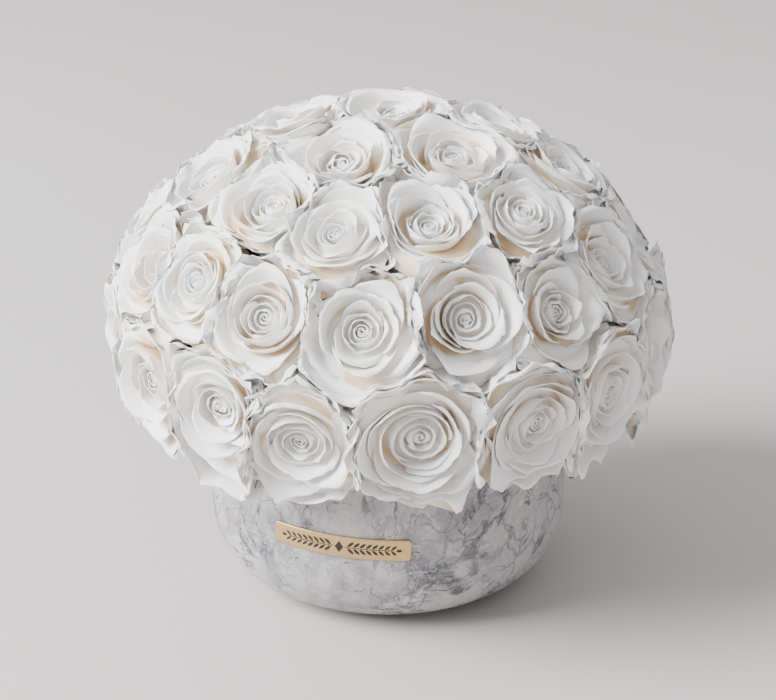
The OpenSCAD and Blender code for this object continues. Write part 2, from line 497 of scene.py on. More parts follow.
def plate_mesh(layers, rows=7):
    """A plate from its front face to its back face. Each layer gives the outline's inset and depth."""
    share = np.linspace(-1, 1, rows)
    grids, flats = [], []
    for inset, depth in layers:
        x, tall = strip_outline(inset)
        x, z = np.broadcast_arrays(x[:, None], tall[:, None] * share)
        grids.append(bent(x, z, depth).reshape(-1, 3))
        flats.append(np.stack([x.ravel(), z.ravel()], axis=1))
    columns = len(x)
    count = columns * rows
    index = np.arange(count).reshape(columns, rows)
    rim = np.concatenate([index[:, 0], index[-1, 1:], index[-2::-1, -1], index[0, -2:0:-1]])
    a, b, c, d = index[:-1, :-1], index[1:, :-1], index[1:, 1:], index[:-1, 1:]
    face = np.stack([a, b, c, d], axis=-1).reshape(-1, 4)
    back = (len(layers) - 1) * count
    faces = [tuple(f) for f in face] + [tuple(f[::-1] + back) for f in face]
    after = np.roll(rim, -1)
    for upper in range(0, back, count):
        lower = upper + count
        faces += [(i + upper, i + lower, j + lower, j + upper) for i, j in zip(rim, after)]
    return np.concatenate(grids), faces, np.concatenate(flats)


def lens(x, z, length, width, turn, points=12):
    """A pointed leaf, drawn flat."""
    t = np.linspace(0, 2 * math.pi, points, endpoint=False)
    along = length / 2 * np.cos(t)
    wide = width / 2 * np.sin(t) * np.abs(np.sin(t)) ** 0.5
    return np.stack([
        x + along * math.cos(turn) - wide * math.sin(turn),
        z + along * math.sin(turn) + wide * math.cos(turn),
    ], axis=1)


def garland():
    """The engraving: a lozenge, two stems, and pairs of leaves along each stem."""
    lozenge = np.array([[2.3, 0], [0, 3.2], [-2.3, 0], [0, -3.2]]) * MM
    shapes = [lozenge]
    for way in (-1, 1):
        for x in np.arange(4.0, GARLAND_END, STALK_STEP):
            shapes.append(lens(way * x * MM, 0, 1.9 * MM, 0.55 * MM, 0))
        for k, x in enumerate(np.arange(6.0, GARLAND_END, LEAF_STEP)):
            size = 1 - 0.03 * k
            length, width = 4.4 * MM * size, 1.7 * MM * size
            for up in (-1, 1):
                shapes.append(lens(way * x * MM, up * 1.9 * MM * size, length, width, LEAF_LEAN * up * way))
        shapes.append(lens(way * 30.2 * MM, 0, 3 * MM, 1.7 * MM, 0))
    return shapes


def add_plaque():
    layers = [(PLAQUE_BEVEL, 0), (PLAQUE_BEVEL * 0.3, PLAQUE_BEVEL * 0.3), (0, PLAQUE_BEVEL), (0, PLAQUE_T)]
    vertices, faces, flats = plate_mesh(layers)
    vertices, flats = list(vertices), list(flats)
    brass_faces = len(faces)
    for shape in garland():
        start, n = len(vertices), len(shape)
        for depth in (-ENAMEL_PROUD, ENAMEL_DEEP):
            vertices += list(bent(shape[:, 0], shape[:, 1], depth))
            flats += list(shape)
        faces.append(tuple(range(start, start + n)))
        faces.append(tuple(range(start + 2 * n - 1, start + n - 1, -1)))
        for i in range(n):
            j = (i + 1) % n
            faces.append((start + i, start + n + i, start + n + j, start + j))
    piece = new_piece("brass_plaque", vertices, faces, [brass_paint(), enamel_paint()], smooth=False)
    for polygon in piece.data.polygons:
        polygon.material_index = int(polygon.index >= brass_faces)
        polygon.use_smooth = polygon.index < brass_faces
    for name, column in (("along", 0), ("upright", 1)):
        values = piece.data.attributes.new(name, "FLOAT", "POINT")
        values.data.foreach_set("value", np.array(flats)[:, column])
    return carry_over(piece, "bowl", "plaque")


plaque = add_plaque()
plaque_turn = round(math.degrees(PLAQUE_AZIMUTH), 1)
print("plaque:", len(plaque.data.polygons), "faces, middle at", plaque_turn, "degrees")

# %% [markdown]
# ## Adhesive pad and felt
#
# A thin pad of white foam tape holds the plaque, a little smaller than the brass so that it doesn't
# show. A felt disc sits in the recess under the foot and stands a hair proud of it. Both could stay
# as they are in the CAD model, but the disc is seen from below, where felt has a soft rounded edge
# and a surface of tangled fibres, so it is turned again with that edge. The pad is bent by the same
# function as the brass, so that the two stay in contact all along the curve.


# %% Adhesive pad and felt disc
def tape_paint():
    paint = Paint("foam_tape", roughness=0.7)
    cells = paint.noise(1400, detail=3)
    paint.colour(paint.mix(cells, rgb(0.66, 0.65, 0.62), rgb(0.8, 0.79, 0.76)))
    paint.bump(cells, 0.0001, 0.6)
    return paint.material


def felt_paint():
    paint = Paint("felt", roughness=0.95)
    paint.shader.inputs["Sheen Weight"].default_value = 0.35
    fibres = paint.noise(1, detail=5, roughness=0.7, distortion=2.5, where=paint.scaled((700, 260, 500)))
    clumps = paint.noise(90, detail=3)
    wool = paint.mix(fibres, rgb(0.012, 0.012, 0.013), rgb(0.05, 0.05, 0.054))
    paint.colour(paint.mix(paint.step(clumps, 0.4, 0.7, 0, 0.5), wool, rgb(0.035, 0.034, 0.036)))
    paint.bump(fibres, 0.0004, 0.8)
    return paint.material


ADHESIVE_T = 0.4 * MM
ADHESIVE_INSET = 1.2 * MM
pad_layers = [(ADHESIVE_INSET, PLAQUE_T), (ADHESIVE_INSET, PLAQUE_T + ADHESIVE_T)]
pad_vertices, pad_faces, _ = plate_mesh(pad_layers)
pad = new_piece("adhesive_pad", pad_vertices, pad_faces, [tape_paint()], smooth=False)
carry_over(pad, "bowl", "plaque_adhesive")

FELT_ROUND = 0.5 * MM
felt_edge = rounded_edge(felt_high[0], felt_low[2], felt_high[2], FELT_ROUND, 9)
felt_face = [(r, felt_low[2]) for r in np.linspace(0, felt_high[0] - FELT_ROUND, 12)[:-1]]
felt_outline = felt_face + felt_edge + [(0, felt_high[2])]
felt = new_piece("felt_disc", *turned(felt_outline, TURN_STEPS // 2), [felt_paint()])
carry_over(felt, "bowl", "foot_felt")
print("felt:", len(felt.data.polygons), "faces; pad:", len(pad.data.polygons), "faces")

# %% [markdown]
# ## Liner
#
# The liner is a thin moulded cup that hangs from its flange on the bowl's rim. It is seen when the
# insert is lifted out. Like the bowl it is a body of revolution, so it is turned from one outline.


# %% Liner
LINER_T = 1.6 * MM
LINER_GAP = 2 * MM
liner_low, liner_high = box("liner")
LINER_R = BOWL_R - WALL - LINER_GAP
LINER_FOOT_R = INNER_FOOT_R - LINER_GAP
LINER_SHOULDER_Z = INNER_SHOULDER_Z + LINER_GAP
FLANGE_ROUND = 0.6 * MM
LINER_STEPS = 200
LINER_CREASE = math.radians(40)


def moulded_paint():
    paint = Paint("moulded_plastic", roughness=0.42)
    flow = paint.noise(1, detail=3, where=paint.scaled((22, 22, 6)))
    paint.colour(paint.mix(flow, rgb(0.71, 0.71, 0.70), rgb(0.78, 0.78, 0.765)))
    grain = paint.noise(900, detail=2)
    paint.feed(paint.shader.inputs["Roughness"], paint.step(grain, 0.3, 0.7, 0.36, 0.48))
    paint.bump(grain, 0.00004, 0.5)
    return paint.material


def liner_outline():
    outside = belly(LINER_FOOT_R, liner_low[2], LINER_R, LINER_SHOULDER_Z)
    edge = rounded_edge(liner_high[0], RIM_Z, liner_high[2], FLANGE_ROUND, 7)
    inner_r, floor_z = LINER_R - LINER_T, liner_low[2] + LINER_T
    inside = belly(LINER_FOOT_R - LINER_T, floor_z, inner_r, LINER_SHOULDER_Z + LINER_T)[::-1]
    flange = [(LINER_R, RIM_Z)] + edge + [(inner_r, liner_high[2])]
    return [(0, liner_low[2])] + outside + flange + inside + [(0, floor_z)]


liner = new_piece("moulded_liner", *turned(liner_outline(), LINER_STEPS), [moulded_paint()])
liner.data.set_sharp_from_angle(angle=LINER_CREASE)
carry_over(liner, "insert", "liner")
print("liner:", len(liner.data.polygons), "faces")

# %% [markdown]
# ## Formulas as Geometry Nodes
#
# A petal's shape is a formula, and a rose is that formula repeated with a new number each time.
# It could be typed as a page of Math nodes by hand. `Field` turns ordinary arithmetic into those
# nodes instead: adding two fields adds an Add node, and so on, so the tree reads as the formula.


# %% Field helper
class Field:
    def __init__(self, tree, socket):
        self.tree = tree
        self.socket = socket

    def apply(self, operation, *others):
        node = self.tree.nodes.new("ShaderNodeMath")
        node.operation = operation
        for i, value in enumerate((self,) + others):
            if isinstance(value, Field):
                self.tree.links.new(value.socket, node.inputs[i])
            else:
                node.inputs[i].default_value = float(value)
        return Field(self.tree, node.outputs[0])

    def __rsub__(self, other):
        return self.apply("MULTIPLY", -1).apply("ADD", other)

    def between(self, start, end):
        """Runs from start to end as this field runs from 0 to 1."""
        return (end - start) * self + start


def operator(operation):
    return lambda self, *others: self.apply(operation, *others)


for method, operation in (
    ("__add__", "ADD"),
    ("__radd__", "ADD"),
    ("__sub__", "SUBTRACT"),
    ("__mul__", "MULTIPLY"),
    ("__rmul__", "MULTIPLY"),
    ("__truediv__", "DIVIDE"),
    ("__pow__", "POWER"),
    ("sin", "SINE"),
    ("cos", "COSINE"),
    ("abs", "ABSOLUTE"),
    ("at_least", "MAXIMUM"),
    ("at_most", "MINIMUM"),
):
    setattr(Field, method, operator(operation))


SOCKET_KINDS = {int: "NodeSocketInt", float: "NodeSocketFloat", type(None): "NodeSocketMaterial"}


class Nodes:
    """A Geometry Nodes tree with the few nodes that these formulas need."""

    def __init__(self, name, inputs):
        self.tree = bpy.data.node_groups.new(name, "GeometryNodeTree")
        face = self.tree.interface
        face.new_socket("Geometry", in_out="INPUT", socket_type="NodeSocketGeometry")
        face.new_socket("Geometry", in_out="OUTPUT", socket_type="NodeSocketGeometry")
        self.named = {}
        for label, value in inputs.items():
            socket = face.new_socket(label, in_out="INPUT", socket_type=SOCKET_KINDS[type(value)])
            if value is not None:
                socket.default_value = value
            self.named[label] = socket.identifier
        self.start = self.tree.nodes.new("NodeGroupInput")
        self.end = self.tree.nodes.new("NodeGroupOutput")

    def add(self, kind, inputs=(), **settings):
        node = self.tree.nodes.new(kind)
        for key, value in settings.items():
            setattr(node, key, value)
        for key, value in dict(inputs).items():
            if isinstance(value, Field):
                value = value.socket
            if isinstance(value, bpy.types.NodeSocket):
                self.tree.links.new(value, node.inputs[key])
            else:
                node.inputs[key].default_value = value
        return node

    def input(self, label):
        return Field(self.tree, self.start.outputs[label])

    def field(self, node, output=0):
        return Field(self.tree, node.outputs[output])

    def random(self, low, high, number, salt):
        node = self.add("FunctionNodeRandomValue", data_type="FLOAT")
        for identifier, value in (("Min_001", low), ("Max_001", high)):
            next(s for s in node.inputs if s.identifier == identifier).default_value = value
        self.tree.links.new(number.socket, node.inputs["ID"])
        self.tree.links.new((self.input("Seed") + salt).socket, node.inputs["Seed"])
        return Field(self.tree, next(s for s in node.outputs if s.identifier == "Value_001"))

    def position(self):
        place = self.add("ShaderNodeSeparateXYZ", {0: self.add("GeometryNodeInputPosition").outputs[0]})
        return [self.field(place, axis) for axis in "XYZ"]

    def shaped(self, geometry, x, y, z):
        """Moves every point of the geometry to the place that the three fields give."""
        place = self.add("ShaderNodeCombineXYZ", {0: x, 1: y, 2: z}).outputs[0]
        return self.add("GeometryNodeSetPosition", {"Geometry": geometry.outputs[0], "Position": place})

    def stored(self, geometry, name, value):
        """Keeps a number on every point under a name, for the finish to read."""
        inputs = {"Geometry": geometry.outputs[0], "Name": name, "Value": value}
        return self.add("GeometryNodeStoreNamedAttribute", inputs, data_type="FLOAT", domain="POINT")

    def sheet(self, across, up):
        """A grid of points with x from -1 to 1 and y from -0.5 to 0.5."""
        inputs = {"Size X": 2.0, "Size Y": 1.0, "Vertices X": across, "Vertices Y": up}
        return self.add("GeometryNodeMeshGrid", inputs)

    def repeated(self, points, instance, rotation=None):
        """One copy of the instance on every point, turned where a rotation is given."""
        inputs = {"Points": points, "Instance": instance.outputs[0]}
        if rotation:
            inputs["Rotation"] = rotation.outputs[0]
        return self.add("GeometryNodeInstanceOnPoints", inputs)

    def joined(self, *parts):
        join = self.add("GeometryNodeJoinGeometry")
        for part in parts:
            self.tree.links.new(part.outputs[0], join.inputs[0])
        return join

    def finish(self, geometry, finish):
        inputs = {"Geometry": geometry.outputs[0], "Material": self.start.outputs[finish]}
        painted = self.add("GeometryNodeSetMaterial", inputs)
        self.tree.links.new(painted.outputs[0], self.end.inputs["Geometry"])


def settled(name, mesh, set_up):
    """Puts a mesh on a passing object, lets set_up add modifiers to it, and returns the plain result."""
    holder = in_scene(name, mesh)
    set_up(holder)
    evaluated = holder.evaluated_get(bpy.context.evaluated_depsgraph_get())
    made = bpy.data.meshes.new_from_object(evaluated)
    bpy.data.objects.remove(holder)
    bpy.data.meshes.remove(mesh)
    return made


def grown(name, nodes, settings, start=None):
    """The plain mesh that a tree makes with its inputs set, from a start mesh where it needs one."""
    def set_up(holder):
        modifier = holder.modifiers.new("nodes", "NODES")
        modifier.node_group = nodes.tree
        for label, value in settings.items():
            modifier[nodes.named[label]] = value

    return settled(name, start or bpy.data.meshes.new(name), set_up)


def thickened(name, mesh, thickness):
    def set_up(holder):
        modifier = holder.modifiers.new("thickness", "SOLIDIFY")
        modifier.thickness = thickness
        modifier.offset = 0

    return settled(name, mesh, set_up)


# %% [markdown]
# ## One rose
#
# A preserved rose is seen from its crown: a tight spiral eye, whorls of upright petals packed
# round it like nested cups, and outer petals that lean away and roll their lips back. All of them
# follow one rule with the petal's number in it. Each new petal is turned by the golden angle,
# which is how the plant itself spaces them, and stands a little further out.
#
# A petal is a grid. Across it runs `u`, from -1 to 1, and up it runs `v`, from 0 at the calyx to 1
# at the tip. The lower part of `v` climbs a bow-like curve, which makes the cup. The rest turns
# along an arc, which makes the rolled lip. Ripples, one sharp fold and a torn edge are laid over
# both, and the finished sheet is given its thickness at the very end. Sculpting fifty heads by hand
# would give the same look, but a rule gives each head its own seed, openness and tilt in a
# fraction of the time.

# %% Petal formula
PETALS = 31
GUARDS = 6
ACROSS = 19
UP = 11
GOLDEN_ANGLE = 2.39996
CUP_SHARE = 0.58
HEAD_R = 28.0


def petal_tree():
    nodes = Nodes(
        "rose petals",
        {
            "Petals": PETALS,
            "Guards": GUARDS,
            "Radius": HEAD_R,
            "Openness": 1.0,
            "Spin": 0.0,
            "Sink": 3.0,
            "Shift": 1.0,
            "Hang": 0.0,
            "Seed": 0,
            "Petal finish": None,
        },
    )
    points = nodes.add("GeometryNodePoints", {"Count": nodes.input("Petals")})
    numbered = nodes.stored(points, "petal", nodes.add("GeometryNodeInputIndex").outputs[0])
    spread = nodes.repeated(numbered.outputs[0], nodes.sheet(ACROSS, UP))
    real = nodes.add("GeometryNodeRealizeInstances", {"Geometry": spread.outputs[0]})

    u, upright, _ = nodes.position()
    whole = upright + 0.5
    number = nodes.field(
        nodes.add("GeometryNodeInputNamedAttribute", {"Name": "petal"}, data_type="FLOAT")
    )
    whorl = nodes.input("Petals") - nodes.input("Guards") - 1
    t = (number / (whorl - 1)).at_most(1)
    guard = (number - whorl + 1).at_least(0).at_most(1)
    heart = (number - nodes.input("Petals") + 2).at_least(0).at_most(1)
    radius = nodes.input("Radius")
    openness = nodes.input("Openness")

    def random(low, high, salt):
        return nodes.random(low, high, number, salt)

    # The outline: straight cuts leave a pointed corner, and a guard petal is torn once
    worn = ((t - 0.4).at_least(0) / 0.6) ** 1.2
    cut = ((u - random(-0.55, 0.55, 16)).abs() * random(0.25, 1.0, 17) - 0.15).at_least(0).at_most(0.4)
    torn = (1 - (u - random(-0.8, 0.8, 18)).abs() / 0.15).at_least(0) * random(-0.1, 0.32, 19).at_least(0)
    v = whole * (1 - worn * cut - torn * (guard + worn * 0.3) * (1 - heart))

    # Where the petal's lip stands: how far out, and how high
    middle = number * GOLDEN_ANGLE + random(-0.32, 0.32, 10) + nodes.input("Spin")
    hanging = (0 - middle.sin()).at_least(0) * guard * nodes.input("Hang") * random(0.3, 1.0, 20)
    out = (t ** (1.65 * openness)) * 0.95 + 0.03 + guard * random(0.02, 0.24, 12) + hanging
    lip_r = radius * out * (random(-0.13, 0.12, 1) * t + 1)
    bud = ((0.5 - out) / 0.17).at_least(0).at_most(1)
    sunk = (0.78 - out).at_least(0)
    dropped = (out - hanging - 0.8).at_least(0)
    lip_h = (
        5 - bud * nodes.input("Sink") - sunk * sunk * 8 - dropped * dropped * 60
        + random(-1.8, 1.6, 2) * t + guard * random(-5, 1.5, 13)
    )
    base_r = t * 2 + 2
    base_h = t.between(-8, -36)

    # The cup: a curve from the calyx to the lip. Inner petals close over the eye, outer ones lean away.
    lean = (t ** 1.2).between(-0.5, 0.68) + random(-0.22, 0.22, 3) - guard * random(0.0, 0.5, 14)
    reach_r = lip_r - base_r
    reach_h = lip_h - base_h
    pull = (reach_r * reach_r + reach_h * reach_h) ** 0.5 * 0.5
    bend_r = lip_r - pull * lean.sin()
    bend_h = lip_h - pull * lean.cos()
    side = u.abs()
    short = (side ** 1.9) * (t.between(0.03, 0.22) + random(-0.03, 0.09, 4))
    rise = (v / CUP_SHARE).at_most(1) * (1 - short)
    left = 1 - rise
    cup_r = left * left * base_r + left * rise * 2 * bend_r + rise * rise * lip_r
    cup_h = left * left * base_h + left * rise * 2 * bend_h + rise * rise * lip_h

    # The lip: an arc that starts in the cup's direction and turns outward, less at a pointed tip
    along = ((v - CUP_SHARE) / (1 - CUP_SHARE)).at_least(0)
    slope_r = short * (bend_r - base_r) + (1 - short) * (lip_r - bend_r)
    slope_h = short * (bend_h - base_h) + (1 - short) * (lip_h - bend_h)
    start = slope_r.apply("ARCTAN2", slope_h)
    rolled = ((t - 0.25).at_least(0) / 0.75) ** 1.1
    tip = (1 - side) ** 1.5 * random(0.0, 1.0, 15) * rolled
    turn = (rolled * random(0.7, 2.3, 5) + 0.05) * (u * random(-0.4, 0.4, 11) + side * 0.5 + 0.75)
    turn = turn * (1 - tip * 0.55)
    length = (rolled * random(2.6, 5.4, 6) + 0.6) * (1 - (side ** 1.6) * 0.4) * (tip * 1.1 + 1)
    bend = length / turn
    facing = start + turn * along
    lip_out = bend * (start.cos() - facing.cos())
    lip_up = bend * (facing.sin() - start.sin())

    # Ripples that grow towards the lip
    free = v ** 3
    phase = random(0, 6.283, 7)
    ripple = ((u * random(2.2, 4.6, 8) + phase).sin() * 0.8 + (u * 9 + phase * 3).sin() * 0.4) * free
    fold = (u - random(-0.7, 0.7, 21)).abs() * random(-4.5, 4.5, 22) * free * rolled
    tear = nodes.add(
        "ShaderNodeTexNoise",
        {"W": number * 3.1 + nodes.input("Seed") + u * 7, "Scale": 1.0, "Detail": 4.0, "Roughness": 0.85},
        noise_dimensions="1D",
    )
    ragged = (nodes.field(tear) - 0.5) * (v ** 5) * rolled

    tuck = (t ** 0.5).between(0.20, 0.055)
    torn_edge = ragged * (guard * 5 + 8)
    r = (cup_r + lip_out) * (1 + u * tuck) + ripple * (t.between(0.1, 1.5) + guard) + fold + torn_edge
    h = cup_h + lip_up + ripple * t.between(0.2, 1.2) - fold * 0.5 + torn_edge

    # The last number is the heart: a dish that closes every gap below the lips
    far = whole * 1.12 + 0.01
    low = (0.78 - far).at_least(0)
    fallen = (far - 0.8).at_least(0)
    inside = ((0.5 - far) / 0.17).at_least(0).at_most(1)
    moat = (1 - (far - 0.45).abs() / 0.16).at_least(0) * (0 - (u * 3.25).cos()).at_least(0)
    dish = (
        0.5 - inside * nodes.input("Sink") - low * low * 8 - fallen * fallen * 40 - far * 5
        - moat * nodes.input("Shift") * 2.5
    )
    r = r * (1 - heart) + radius * far * heart
    h = h * (1 - heart) + dish * heart

    half = (t ** 0.7).between(2.3, 1.0) * random(0.92, 1.08, 9) * (1 - along * along * rolled * 0.35)
    heading = middle + u * (half * (1 - heart) + heart * 3.25)
    aside = bud * nodes.input("Shift") * v * (1 - heart)
    spin = nodes.input("Spin")
    x = r * heading.cos() + aside * spin.cos()
    y = r * heading.sin() + aside * spin.sin()
    toned = nodes.shaped(real, x, y, h)
    # depth starts at zero here and is filled in later with the painted crevice shade
    for name, value in (("depth", 0.0), ("across", u), ("up", v)):
        toned = nodes.stored(toned, name, value)
    nodes.finish(toned, "Petal finish")
    return nodes


# %% Petal finish
def petal_paint():
    paint = Paint("petal", roughness=0.5)
    depth = paint.attribute("depth")
    across = paint.attribute("across")
    up = paint.attribute("up")
    number = paint.attribute("petal")
    blotch = paint.noise(60, detail=3)
    white = paint.mix(blotch, rgb(0.905, 0.892, 0.876), rgb(0.93, 0.922, 0.91))
    # depth is painted shade: the further a point lies below the lips around it, the more its white turns
    # cream and then tan. This is painted shade in the crevices, and partly the petals' own warmer base.
    crevice_shade_and_blotch = paint.math("ADD", depth, paint.times(paint.math("SUBTRACT", blotch, 0.5), 0.25))
    white_with_cream_shade = paint.mix(paint.step(crevice_shade_and_blotch, 0.25, 0.85), white, rgb(0.90, 0.845, 0.775))
    skin = paint.mix(paint.step(crevice_shade_and_blotch, 0.7, 1.06), white_with_cream_shade, rgb(0.68, 0.47, 0.27))
    paint.colour(skin)
    paint.shader.inputs["Sheen Weight"].default_value = 0.12
    paint.shader.inputs["Sheen Roughness"].default_value = 0.4
    paint.shader.inputs["Subsurface Weight"].default_value = 0.12
    paint.shader.inputs["Subsurface Radius"].default_value = (1.0, 0.8, 0.62)
    paint.shader.inputs["Subsurface Scale"].default_value = 0.0015
    along = paint.node("ShaderNodeCombineXYZ", {0: across, 1: up, 2: number}).outputs[0]
    creases = paint.noise(1, detail=3, roughness=0.6, where=paint.scaled((9, 1.2, 7.3), where=along))
    crepe = paint.noise(430, detail=3, roughness=0.6)
    height = paint.math("ADD", creases, paint.times(crepe, 0.2))
    paint.bump(height, 0.0006, 0.55)
    return paint.material


# %% [markdown]
# ## Placing the roses
#
# Each head takes the place of its CAD solid. The solids' boxes give the middle of every head, and
# the dome's own curve gives the direction in which it faces.

# %% Places on the dome
DOME_Z = 144 * MM
RING_R = 143 * MM
RING_H = 115 * MM
HEAD_MIDDLE = -13 * MM
LOWEST_RISE = 0.12
WALL_CLEAR_R = BOWL_R + 1.5 * MM
FLANGE_CLEAR_Z = liner_high[2] + 1 * MM
rose_nodes = sorted(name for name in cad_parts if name.startswith("rose_") and name != "rose_stems")


def on_dome(azimuth, elevation):
    """A point of the dome's curve and the direction straight out of it."""
    ring = np.array([
        RING_R * math.cos(elevation) * math.sin(azimuth),
        -RING_R * math.cos(elevation) * math.cos(azimuth),
        DOME_Z + RING_H * math.sin(elevation),
    ])
    pitch = math.atan2(math.sin(elevation) / RING_H, math.cos(elevation) / RING_R)
    axis = np.array([
        math.cos(pitch) * math.sin(azimuth),
        -math.cos(pitch) * math.cos(azimuth),
        math.sin(pitch),
    ])
    return ring, axis


def rose_place(node):
    """The place on the dome whose head lies nearest to the CAD solid, to a quarter of a degree."""
    low, high = box(node)
    middle = (low + high) / 2
    azimuth = math.atan2(middle[0], -middle[1])
    trials = [on_dome(azimuth, math.radians(e / 4)) for e in range(-60, 361)]
    return min(trials, key=lambda trial: np.linalg.norm(trial[0] + trial[1] * HEAD_MIDDLE - middle))


places = {node: rose_place(node) for node in rose_nodes}
lowest = [node for node in rose_nodes if places[node][1][2] < LOWEST_RISE]
print("roses:", len(places), "in the lowest row:", len(lowest))


# %% [markdown]
# ## Foam and stems
#
# The foam is a block of dry floral foam, carved to fill the liner and domed above it. Carved foam is
# never smooth, so its points are pushed in a little by a noise. Each head keeps a short stub of stem,
# pushed into the foam, with the swollen calyx and the sepals that held it in the garden. That is one
# small shape in fifty-three places, which is work for Geometry Nodes: points carry the direction in
# which each head faces, and one stub is stood on every point.


# %% Foam
FOAM_FIT = 0.6 * MM
FOAM_PITS = 0.6 * MM
CARVED_COARSE = 260
CARVED_FINE = 700
foam_low, foam_high = box("foam_core")


def foam_paint():
    paint = Paint("dry_foam", roughness=0.95)
    pores = paint.node("ShaderNodeTexVoronoi", {"Vector": paint.where, "Scale": 900}).outputs["Distance"]
    cloud = paint.noise(70, detail=4, roughness=0.7)
    body = paint.mix(cloud, rgb(0.19, 0.13, 0.075), rgb(0.28, 0.2, 0.125))
    # The pores' centres are painted darker: painted shade in the hollows
    paint.colour(paint.mix(paint.step(pores, 0.1, 0.5, 0.6, 0), body, rgb(0.09, 0.06, 0.035)))
    paint.bump(pores, 0.0006, 0.7)
    return paint.material


def foam_outline():
    plug_r = LINER_R - LINER_T - FOAM_FIT
    plug_foot_r = LINER_FOOT_R - LINER_T - FOAM_FIT
    dome_h = foam_high[2] - DOME_Z
    start = math.asin((liner_high[2] - DOME_Z) / dome_h)
    a = np.linspace(start, math.pi / 2, 60)[:-1]
    return (
        [(0, foam_low[2])]
        + belly(plug_foot_r, foam_low[2], plug_r, LINER_SHOULDER_Z + LINER_T + FOAM_FIT)
        + [(plug_r, liner_high[2])]
        + list(zip(foam_high[0] * np.cos(a), DOME_Z + dome_h * np.sin(a)))
        + [(0, foam_high[2])]
    )


def carved(points):
    """Pushes each point of the foam inward by a noise, so that no stretch of it is smooth."""
    middle = Vector((0, 0, (foam_low[2] + foam_high[2]) / 2))
    moved = []
    for point in points:
        place = Vector(point)
        depth = abs(noise.noise(place * CARVED_COARSE)) + 0.5 * abs(noise.noise(place * CARVED_FINE))
        moved.append(place + (middle - place).normalized() * depth * FOAM_PITS)
    return moved


foam_vertices, foam_faces = turned(foam_outline(), TURN_STEPS)
foam = new_piece("carved_foam", carved(foam_vertices), foam_faces, [foam_paint()], smooth=False)
carry_over(foam, "insert", "foam_core")
print("foam:", len(foam.data.polygons), "faces, from", round(foam_low[2], 4), "to", round(foam_high[2], 4))


# %% Stems
HEAD_BASE = -36
CALYX_H = 3.4
CALYX_R = 6.4
STEM_D = 4.4
STEM_IN = 22.0
STEM_CREASE = math.radians(50)
SEPALS = 5
SEPAL_LENGTH = 13.0


def stem_tree():
    nodes = Nodes(
        "stems",
        {
            "Stem diameter": STEM_D,
            "Stem length": STEM_IN,
            "Calyx radius": CALYX_R,
            "Calyx height": CALYX_H,
            "Sepals": SEPALS,
            "Sepal length": SEPAL_LENGTH,
            "Seed": 5,
            "Stem finish": None,
        },
    )
    radius = nodes.input("Stem diameter") / 2
    length = nodes.input("Stem length")
    height = nodes.input("Calyx height")

    # The stub, a little bent by a wave, and the calyx that flares from it up to the head's underside
    stub = nodes.add(
        "GeometryNodeMeshCylinder",
        {"Vertices": 14, "Side Segments": 8, "Radius": radius, "Depth": length + height},
    )
    x, y, z = nodes.position()
    up = z / (length + height) + 0.5
    flare = ((up * (length + height) - length) / height).at_least(0) ** 0.7
    wide = flare * (nodes.input("Calyx radius") / radius - 1) + 1 + (up * 31).sin() * 0.03
    stub = nodes.shaped(stub, x * wide, y * wide, z - (length + height) / 2)

    # One sepal: a pointed strip that leaves the calyx, follows the head and droops at its tip
    strip = nodes.sheet(5, 8)
    u, upright, _ = nodes.position()
    v = upright + 0.5
    half = (1 - v) ** 0.8 * 2.6 * (1 - (0.35 - v).at_least(0)) + 0.12
    reach = nodes.input("Calyx radius") * 0.8 + nodes.input("Sepal length") * v
    rise = 0 - v * 1.5 - v * v * 3.5 + u * u * (1 - v) * 0.8 - height * 0.3
    strip = nodes.shaped(strip, reach, u * half, rise)
    skin = nodes.add(
        "GeometryNodeExtrudeMesh", {"Mesh": strip.outputs[0], "Offset Scale": -0.35, "Individual": False}
    )
    under = nodes.add("GeometryNodeFlipFaces", {"Mesh": strip.outputs[0]})
    both = nodes.joined(skin, under)
    sepal = nodes.add("GeometryNodeMergeByDistance", {"Geometry": both.outputs[0], "Distance": 0.01})
    ring = nodes.add("GeometryNodePoints", {"Count": nodes.input("Sepals")})
    step = nodes.field(nodes.add("GeometryNodeInputIndex")) * (2 * math.pi) / nodes.input("Sepals")
    around = nodes.add("ShaderNodeCombineXYZ", {2: step})
    crown = nodes.repeated(ring.outputs[0], sepal, around)
    whole = nodes.joined(stub, crown)

    # One stub on every point, turned to face as its head does and spun at random
    facing = nodes.add("GeometryNodeInputNamedAttribute", {"Name": "facing"}, data_type="FLOAT_VECTOR")
    aimed = nodes.add("FunctionNodeAlignRotationToVector", {"Vector": facing.outputs[0]}, axis="Z")
    index = nodes.field(nodes.add("GeometryNodeInputIndex"))
    spin = nodes.add("ShaderNodeCombineXYZ", {2: nodes.random(0, 2 * math.pi, index, 0)})
    turn = nodes.add("FunctionNodeRotateRotation", {"Rotation": aimed.outputs[0]}, rotation_space="LOCAL")
    nodes.tree.links.new(spin.outputs[0], turn.inputs["Rotate By"])
    stood = nodes.repeated(nodes.start.outputs["Geometry"], whole, turn)
    real = nodes.add("GeometryNodeRealizeInstances", {"Geometry": stood.outputs[0]})
    nodes.finish(real, "Stem finish")
    return nodes


def stem_paint():
    paint = Paint("stem", roughness=0.6)
    cloud = paint.noise(120, detail=4, roughness=0.7)
    green = paint.mix(paint.step(cloud, 0.35, 0.65), rgb(0.10, 0.13, 0.05), rgb(0.21, 0.22, 0.10))
    fibres = paint.noise(1500, detail=3)
    paint.colour(paint.mix(paint.step(fibres, 0.5, 0.7, 0, 0.6), green, rgb(0.28, 0.24, 0.13)))
    paint.bump(fibres, 0.0002, 0.7)
    return paint.material


